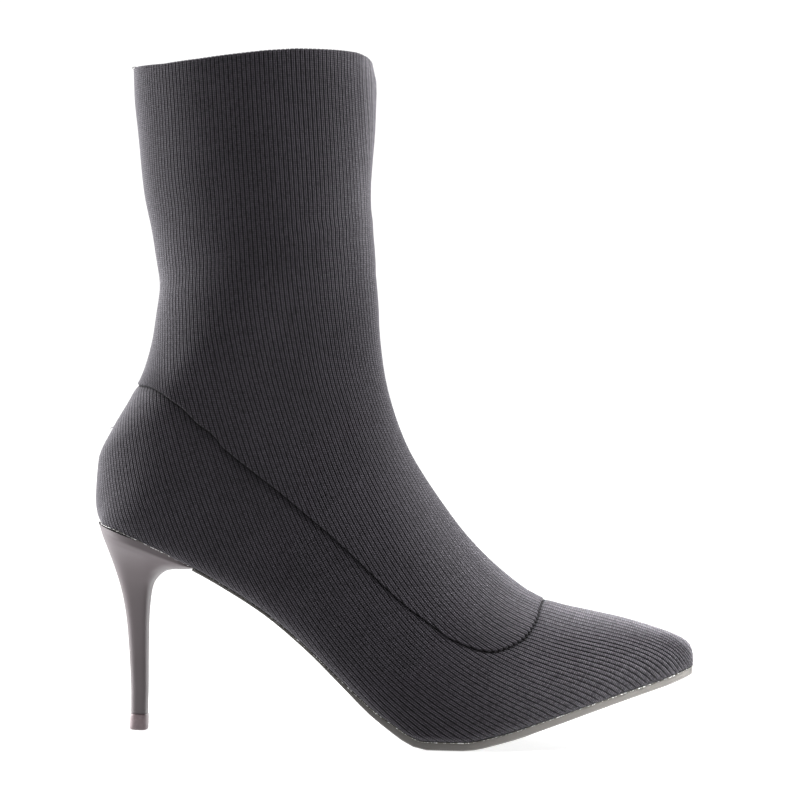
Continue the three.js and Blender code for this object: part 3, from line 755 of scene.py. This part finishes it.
def make_sock(knit):
    near_collar = np.array([FOLD_RADIUS, 1.6, 2.6, 4.2])
    station, around, side, ribs, course, along, length = knit_panel("sock", True, near_collar, NEAR_SEAM, 44)
    points = last_point(station, around, side)
    # The collar's line waves a little, and dips at its front corner
    lift = np.interp(around[:, :1], COLLAR_AROUND, COLLAR_LIFT)
    points[..., 2] += lift * np.exp(-((along / COLLAR_FADE) ** 2))
    normal = last_normal(station, around, side)
    to_seam = length - along
    clear = back_seam_blend(around)
    relief = rib_relief(ribs, 0) * clear - RIB_DEPTH * (1 - clear)
    # Rib ends stand out as scallops over the seam
    to_edge = to_seam + SCALLOP * np.cos(2 * math.pi * ribs) * smoothstep(points[..., 0], 70, 120)
    # Behind, the step at the seam is pressed flat
    behind = (1 - smoothstep(around, 0, 0.12)) * np.exp(-((to_seam / 8) ** 2))
    level = SOCK_STEP * (1 - 0.9 * behind) - SEAM_ROLL * (1 - 0.7 * behind) * np.exp(-((to_edge / SEAM_LIP) ** 2)) + soft_creases(station, around)
    wall = points + normal * (level + relief)[..., None]
    # The collar rolls over and runs down inside
    up = points[:, 0] - points[:, 1]
    up /= np.maximum(np.linalg.norm(up, axis=1, keepdims=True), 1e-9)
    up = np.where(np.abs(up[:, 2:]) > 0.3, up, [[0, 0, 1.0]])
    out = normal[:, 0]
    centre = points[:, 0] + out * (SOCK_STEP - FOLD_RADIUS)
    turns = np.linspace(math.pi, 0, 9)[:-1]
    ring = lambda turn: out * math.cos(turn) + up * math.sin(turn)
    fold = [centre + ring(turn) * (FOLD_RADIUS + relief[:, 0])[:, None] for turn in turns]
    inner = [centre - out * FOLD_RADIUS - up * drop for drop in (FOLD_LENGTH, 9, 4, 1.5)]
    rolled = np.stack(inner + fold, 1)
    roll_course = course[:, :1] - np.array([FOLD_LENGTH + 3, 12, 7, 4.5, *(turns * FOLD_RADIUS)]) / COURSE_PITCH
    grid = np.concatenate([rolled, wall], 1)
    uv = np.stack([
        np.hstack([ribs[:, :rolled.shape[1]], ribs]),
        np.hstack([roll_course, course]),
    ], -1)
    points = grid.reshape(-1, 3)
    faces = keep_real(points, grid_faces(*grid.shape[:2]))
    even = np.concatenate([np.repeat(out[:, None], rolled.shape[1], 1), normal], 1)
    # Painted shade where the sock's edge is pinched into the seam
    pinch = np.hstack([np.zeros(rolled.shape[:2]), np.exp(-((np.maximum(to_edge, 0) / SOCK_SEAM_PAINTED_SHADE) ** 2))])
    piece = make_piece("sock", points, faces, knit, "rib_knit", uv.reshape(-1, 2), even.reshape(-1, 3),
                       bold=np.zeros(len(points)), pinch=pinch)
    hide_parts("upper")


def make_lower_panel(knit):
    station, around, side, ribs, course, along, length = knit_panel("lower_panel", False, NEAR_SEAM, NEAR_HIDDEN, 30)
    ribs = ribs + 0.5
    points = last_point(station, around, side)
    normal = last_normal(station, around, side)
    clear = back_seam_blend(np.where(station > 17.5, around, 1))
    bold = rib_boldness(points, around)
    relief = rib_relief(ribs, bold) * clear - RIB_DEPTH * (1 - clear)
    full = VAMP_FULL * smoothstep(around, 0.6, 1) * smoothstep(points[..., 0], 135, 160)
    level = full * (1 - smoothstep(points[..., 0], 190, 215)) - SEAM_SINK * np.exp(-((along / SEAM_SLOPE) ** 2))
    grid = points + normal * (level + relief)[..., None]
    points = grid.reshape(-1, 3)
    faces = keep_real(points, grid_faces(*grid.shape[:2]))
    uv = np.stack([ribs, course], -1).reshape(-1, 2)
    # Painted shade at the seam, and a weaker painted shadow band below it
    pinch = 0.9 * np.exp(-((along / LOWER_SEAM_PAINTED_SHADE) ** 2)) + 0.25 * np.exp(-((along / SEAM_PAINTED_SHADOW) ** 2))
    piece = make_piece("lower_panel", points, faces, knit, "rib_knit", uv, normal.reshape(-1, 3), bold=bold,
                       pinch=np.minimum(pinch, 1))


def make_lining(jersey):
    """Jersey lining inside the knit, closed under the foot."""
    stations = np.concatenate([np.arange(-0.6, 31.4, 0.4), [31.5]])
    sides = 64
    around = np.arange(sides) / sides * 2
    grid_station, grid_around = np.meshgrid(stations, around, indexing="ij")
    share = np.where(grid_around <= 1, grid_around, 2 - grid_around)
    side = np.where(grid_around <= 1, -1.0, 1.0)
    points = last_point(grid_station, share, side) - LINING_DEPTH * last_normal(grid_station, share, side)
    flat = points.reshape(-1, 3)
    return make_piece("lining", flat, grid_faces(len(stations), sides, True), jersey, "insole_lining")


# Bottom of the boot

def underside_ring(station, corners):
    """A ring under the last, from pairs of distance across and height, mirrored to the inner side."""
    probe = 0.02
    low_x, low_z, _, _, half, flat, _, swing, _, _ = section_at(station)
    ahead, behind = section_at(station + probe), section_at(station - probe)
    slope = np.array([(ahead[1] - behind[1]) * smoothstep(station, 0.3, 2.5), behind[0] - ahead[0]])
    slope /= np.linalg.norm(slope)
    outer = corners(flat * half, station)
    ring = outer + [(-across, height) for across, height in outer[::-1]]
    return [
        [low_x + slope[0] * height, swing + across, low_z + slope[1] * height]
        for across, height in ring
    ]


def rounded_corner(before, corner, after, radius, steps=4):
    """Points round a corner of an outline."""
    before, corner, after = (np.array(p, float) for p in (before, corner, after))
    enter = before - corner
    leave = after - corner
    start = corner + enter / np.linalg.norm(enter) * min(radius, np.linalg.norm(enter) / 2)
    end = corner + leave / np.linalg.norm(leave) * min(radius, np.linalg.norm(leave) / 2)
    return [
        tuple(start * (1 - t) ** 2 + 2 * corner * t * (1 - t) + end * t ** 2)
        for t in np.linspace(0, 1, steps)
    ]


def sole_outline(half, station):
    waist = smoothstep(station, 10, 13)
    toe = 1 - smoothstep(station, 4, 9)
    thickness = SOLE_THICKNESS + toe * (TOE_THICKNESS - SOLE_THICKNESS) + waist * (WAIST_THICKNESS - SOLE_THICKNESS)
    edge = SOLE_EDGE + toe * (TOE_EDGE - SOLE_EDGE) + waist * (WAIST_EDGE - SOLE_EDGE)
    wide = half + SOLE_LIP
    bevel = min(SOLE_BEVEL + waist * (WAIST_BEVEL - SOLE_BEVEL), half / 2)
    top, foot, tread = (wide, -FIT), (wide, -FIT - edge), (wide - bevel, -FIT - thickness)
    return [
        (0.0, -FIT),
        (wide - 1.2, -FIT),
        *rounded_corner((0, -FIT), top, foot, 0.35),
        *rounded_corner(top, foot, tread, 0.3),
        *rounded_corner(foot, tread, (0, -FIT - thickness), 0.8),
        (wide * 0.3, -FIT - thickness),
        (0.0, -FIT - thickness),
    ]


def station_of_length(x):
    stations = np.linspace(TIP_STATION, 20, 4000)
    return float(np.interp(-x, -section_at(stations)[0], stations))


def cap_faces(points, ring, middle, flip):
    sides = len(ring)
    faces = [[middle, ring[i], ring[(i + 1) % sides]] for i in range(sides)]
    return [f[::-1] for f in faces] if flip else faces


def closed_loft(rings):
    """Points and faces of a closed form through rings, with a fan on each end."""
    rings = np.asarray(rings, float)
    count, sides = rings.shape[:2]
    points = np.vstack([rings.reshape(-1, 3), rings[0].mean(0), rings[-1].mean(0)])
    faces = grid_faces(count, sides, True).tolist()
    faces += cap_faces(points, list(range(sides)), count * sides, True)
    faces += cap_faces(points, list(range((count - 1) * sides, count * sides)), count * sides + 1, False)
    return points, faces


def outward(points, faces):
    """Turns all faces round if the form is inside out."""
    volume = 0
    for face in faces:
        a, b, c = points[face[0]], points[face[1]], points[face[2]]
        volume += np.dot(a, np.cross(b, c))
        if len(face) == 4:
            volume += np.dot(a, np.cross(c, points[face[3]]))
    return faces if volume > 0 else [list(face)[::-1] for face in faces]


def make_outsole(rubber):
    end = station_of_length(SEAT_LENGTH - HEEL_SETBACK + FIT)
    stations = np.concatenate([[0.1, 0.2, 0.35], np.arange(0.5, end, 0.25), [end]])
    points, faces = closed_loft([underside_ring(s, sole_outline) for s in stations])
    piece = make_piece("outsole_moulded", points, outward(points, faces), rubber, "sole_rubber")
    piece.data.set_sharp_from_angle(angle=math.radians(50))
    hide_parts("outsole")
    return piece


def heel_ring(rear, front, half, sides):
    angle = 2 * math.pi * (np.arange(sides) + 0.5) / sides
    cos, sin = np.cos(angle), np.sin(angle)
    power = 2 / np.where(cos > 0, HEEL_BREAST_POWER, HEEL_BACK_POWER)
    reach = (front - rear) / 2
    ring = (front + rear) / 2 + reach * (np.sign(cos) * np.abs(cos) ** power)[:, None]
    ring[:, 1] = half * np.sign(sin) * np.abs(sin) ** power
    return ring


def heel_rings(sides, per_row):
    table = np.array(HEEL_ROWS)
    rows = smooth_rows(table, np.linspace(0, len(table) - 1, per_row * (len(table) - 1) + 1))
    foot = TIP_HEIGHT + FIT
    rise = HEEL_HEIGHT - foot
    rings = []
    for back, back_up, breast, breast_up, wide in rows:
        rear = np.array([-(STEM_DEPTH / 2 + back * (HEEL_SETBACK - STEM_DEPTH / 2)), 0, foot + back_up * rise])
        front_x = STEM_DEPTH / 2 + breast * (SEAT_LENGTH - HEEL_SETBACK - STEM_DEPTH / 2)
        front = np.array([front_x, 0, foot + breast_up * rise])
        rings.append(heel_ring(rear, front, (STEM_WIDTH + wide * (SEAT_WIDTH - STEM_WIDTH)) / 2, sides))
    return rings


def seat_cutter():
    """The last itself, so little smaller that the seat's edge bites into the knit."""
    stations = np.arange(13, 25.01, 0.2)
    around = np.arange(72) / 36
    rings = []
    for station in stations:
        share = np.where(around <= 1, around, 2 - around)
        side = np.where(around <= 1, -1.0, 1.0)
        place = np.full(len(around), station)
        rings.append(last_point(place, share, side) - SEAT_BITE * last_normal(place, share, side))
    points, faces = closed_loft(rings)
    mesh = bpy.data.meshes.new("seat_cutter")
    mesh.from_pydata((points * MM).tolist(), [], outward(points, faces))
    cutter = bpy.data.objects.new("seat_cutter", mesh)
    bpy.context.scene.collection.objects.link(cutter)
    return cutter


def make_heel(lacquer):
    """The heel's outside, hollowed at the seat by the last."""
    points, faces = closed_loft(heel_rings(96, 8))
    piece = make_piece("heel_moulded", points, outward(points, faces), lacquer, "heel_shell")
    cutter = seat_cutter()
    cut = piece.modifiers.new("seat", "BOOLEAN")
    cut.operation = "DIFFERENCE"
    cut.solver = "EXACT"
    cut.object = cutter
    rim = seat_rim(cutter.data)
    shaped = bpy.data.meshes.new_from_object(piece.evaluated_get(bpy.context.evaluated_depsgraph_get()))
    piece.modifiers.clear()
    piece.data = shaped
    bpy.data.objects.remove(cutter)
    shaped.materials.clear()
    shaped.materials.append(lacquer)
    shaped.shade_smooth()
    shaped.set_sharp_from_angle(angle=math.radians(40))
    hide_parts("heel")
    return rim


def make_top_piece(urethane):
    """Top piece, with a rounded upper edge and a worn lower one."""
    depth, half = STEM_DEPTH / 2 + TIP_LIP, STEM_WIDTH / 2 + TIP_LIP
    top = TIP_HEIGHT + FIT / 2
    levels = [(0, 0.45), (0.1, 0.2), (0.35, 0.05), (0.8, 0), (top - 0.8, 0), (top - 0.3, 0.05),
              (top - 0.1, 0.15), (top, 0.4)]
    rings = [
        heel_ring(np.array([inset - depth, 0, z]), np.array([depth - inset, 0, z]), half - inset, 64)
        for z, inset in levels
    ]
    points, faces = closed_loft(rings)
    piece = make_piece("top_piece", points, outward(points, faces), urethane, "top_piece")
    piece.data.set_sharp_from_angle(angle=math.radians(60))
    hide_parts("heel_tip")
    return piece


# Small things in the joints

def uneven(rng, count, run):
    """Even-mannered chance from 0 to 1 along a line, that changes about every so many places."""
    knots = rng.random(count // run + 3)
    return np.interp(np.arange(count) / run, np.arange(len(knots)), knots)


def bead(centres, across, thick):
    """Points and faces of an uneven bead along a line."""
    turns = np.arange(6) / 6 * 2 * math.pi
    rings = centres[:, None] + thick[:, None, None] * (
        np.cos(turns)[None, :, None] * across[:, None] + np.sin(turns)[None, :, None] * np.array([0, 0, 0.8])
    )
    return rings.reshape(-1, 3), grid_faces(len(centres), len(turns), True)


def seat_rim(cutter_mesh):
    """Where the heel's outside meets the last, from the breast on one side round the back to the other,
    with the last's outward direction there."""
    tree = BVHTree.FromPolygons([v.co for v in cutter_mesh.vertices], [p.vertices for p in cutter_mesh.polygons])
    columns = np.array(heel_rings(192, 8)[::-1]).transpose(1, 0, 2) * MM
    rim = []
    for column in columns:
        for here, ahead in zip(column[:-1], column[1:]):
            step = Vector((ahead - here).tolist())
            if step.length == 0:
                continue
            hit, way, _, _ = tree.ray_cast(Vector(here.tolist()), step, step.length)
            if hit:
                break
        else:
            hit, way, _, _ = tree.find_nearest(Vector(column[-1].tolist()))
        rim.append([*(np.array(hit) / MM), *way])
    return np.array(rim)


def make_cement_bead(cement, rim):
    """Cement squeezed out of the joint between knit and sole, and a thin line of it round the seat."""
    rng = np.random.default_rng(7)
    points, faces, total = [], [], 0
    for side in (-1.0, 1.0):
        place = np.arange(-0.9, 17.6, 0.03)
        out = last_normal(place, FEATHER + 0.05, side) * [1, 1, 0]
        out /= np.linalg.norm(out, axis=1, keepdims=True)
        centres = last_point(place, FEATHER, side) + out * BEAD_OUT - [0, 0, BEAD_DOWN]
        size = BEAD * (0.25 + uneven(rng, len(place), 25)) * (0.5 + uneven(rng, len(place), 3))
        size *= 1 - 0.6 * smoothstep(place, 9, 12)
        more = bead(centres, out, size)
        points.append(more[0])
        faces.append(more[1] + total)
        total += len(more[0])
    rim, across = rim[:, :3], rim[:, 3:] * [1, 1, 0]
    across *= np.sign((across * (rim - rim.mean(0))).sum(1, keepdims=True))
    across /= np.linalg.norm(across, axis=1, keepdims=True)
    size = SEAT_BEAD * (0.4 + uneven(rng, len(rim), 3))
    more = bead(rim + across * SEAT_BEAD_OUT, across, size)
    points.append(more[0])
    faces.append(more[1] + total)
    return make_piece("cement_bead", np.vstack(points), np.vstack(faces), cement, "sole_rubber")


def make_thread_ends(jersey):
    """A knot of yarn at the back of the collar, and a cut end that stands out of the heel's back seam."""
    t = np.linspace(0, 1, 12)
    knot = last_point(COLLAR_STATION, 0.02, -1) + np.stack([
        1.2 * np.sin(2 * math.pi * t), 0.3 - 0.8 * t, 1.3 * np.sin(math.pi * t) + 0.2,
    ], 1)
    end = last_point(23.1, 0.0, -1) + np.stack([0.4 - 2.2 * t, -0.8 * t, 0.3 - 0.9 * t ** 2], 1)
    points, faces = [], []
    for number, line in enumerate((knot, end)):
        more = bead(line, np.tile([0.3, 0.95, 0], (len(t), 1)), THREAD * (1 - 0.6 * t ** 3))
        points.append(more[0])
        faces.append(more[1] + number * len(more[0]))
    return make_piece("thread_ends", np.vstack(points), np.vstack(faces), jersey, "insole_lining")


# Floor, light and camera

def make_stage():
    size = 40.0
    mesh = bpy.data.meshes.new("floor")
    mesh.from_pydata([(-size, -size, 0), (size, -size, 0), (size, size, 0), (-size, size, 0)], [], [[0, 1, 2, 3]])
    floor = bpy.data.objects.new("floor", mesh)
    floor.location.z = -0.0001
    bpy.context.scene.collection.objects.link(floor)
    table, tree, shader = new_material("opal_acrylic_light_table")
    shader.inputs["Base Color"].default_value = linear("#949494")
    shader.inputs["Roughness"].default_value = 0.9
    shader.inputs["Emission Color"].default_value = linear("#ffffff")
    shader.inputs["Emission Strength"].default_value = 0.85
    mesh.materials.append(table)


# Strength of the tent on the camera's side and behind the boot
TENT_FRONT = 0.02
TENT_BACK = 2.6


def make_world():
    """A white tent that is darker on the camera's side, where the room is."""
    world = bpy.data.worlds.new("tent")
    bpy.context.scene.world = world
    world.use_nodes = True
    tree = world.node_tree
    tree.nodes.clear()
    direction = add(tree, "ShaderNodeTexCoord").outputs["Generated"]
    depth = add(tree, "ShaderNodeSeparateXYZ", {0: direction}).outputs[1]
    glow = add(tree, "ShaderNodeMapRange", {0: depth, 1: -0.12, 2: 0.5, 3: TENT_FRONT, 4: TENT_BACK}).outputs[0]
    seen = add(tree, "ShaderNodeLightPath").outputs["Is Camera Ray"]
    strength = add(tree, "ShaderNodeMix", {0: seen, 2: glow, 3: 1.1}).outputs[0]
    back = add(tree, "ShaderNodeBackground", {"Color": (1, 1, 1, 1), "Strength": strength})
    add(tree, "ShaderNodeOutputWorld", {"Surface": back.outputs[0]})


def make_light(name, place, target, size, power, spread=math.pi):
    lamp = bpy.data.lights.new(name, "AREA")
    lamp.spread = spread
    lamp.shape = "RECTANGLE"
    lamp.size, lamp.size_y = size
    lamp.energy = power
    light = bpy.data.objects.new(name, lamp)
    light.location = place
    aim = np.array(target, float) - np.array(place, float)
    light.rotation_mode = "QUATERNION"
    light.rotation_quaternion = Vector(aim.tolist()).to_track_quat("-Z", "Y")
    bpy.context.scene.collection.objects.link(light)


def make_lights():
    middle = (0.08, 0, 0.12)
    make_light("left_softbox", (-0.95, 0.14, 0.3), middle, (0.7, 1.0), 38)
    make_light("right_softbox", (1.05, 0.1, 0.5), middle, (0.7, 1.0), 2)
    make_light("upper_right", (0.75, 0, 1.0), middle, (0.5, 0.5), 24)
    make_light("toe_lamp", (0.26, -0.06, 0.36), (0.215, 0, 0.03), (0.1, 0.1), 0.1, math.radians(35))


def make_camera():
    """The photograph's camera: level, five degrees towards the toe, rolled one and a half."""
    azimuth, roll, distance = math.radians(5), math.radians(1.5), 1.15
    target = np.array([0.100, 0, 0.1372])
    look = np.array([-math.sin(azimuth), math.cos(azimuth), 0])
    right, up = np.array([math.cos(azimuth), math.sin(azimuth), 0]), np.array([0, 0, 1.0])
    across = right * math.cos(roll) + up * math.sin(roll)
    upward = up * math.cos(roll) - right * math.sin(roll)
    lens = bpy.data.cameras.new("camera")
    lens.sensor_width = 36
    lens.lens = 36 * 2875 / 790
    lens.clip_start, lens.clip_end = 0.01, 100
    camera = bpy.data.objects.new("camera", lens)
    eye = target - look * distance
    columns = np.stack([across, upward, -look], 1)
    matrix = np.eye(4)
    matrix[:3, :3] = columns
    matrix[:3, 3] = eye
    camera.matrix_world = Matrix(matrix.tolist())
    bpy.context.scene.collection.objects.link(camera)
    bpy.context.scene.camera = camera


def build():
    knit = rib_knit()
    jersey = lining_jersey()
    make_camera()
    make_stage()
    make_world()
    make_lights()
    make_lower_panel(knit)
    make_sock(knit)
    make_lining(jersey)
    make_thread_ends(jersey)
    make_outsole(moulded_rubber())
    rim = make_heel(lacquered_abs())
    make_top_piece(top_piece_urethane())
    make_cement_bead(dried_cement(), rim)
    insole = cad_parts["insole"]
    insole.data.materials.clear()
    insole.data.materials.append(jersey)
    bpy.context.scene.view_settings.view_transform = "Standard"


build()
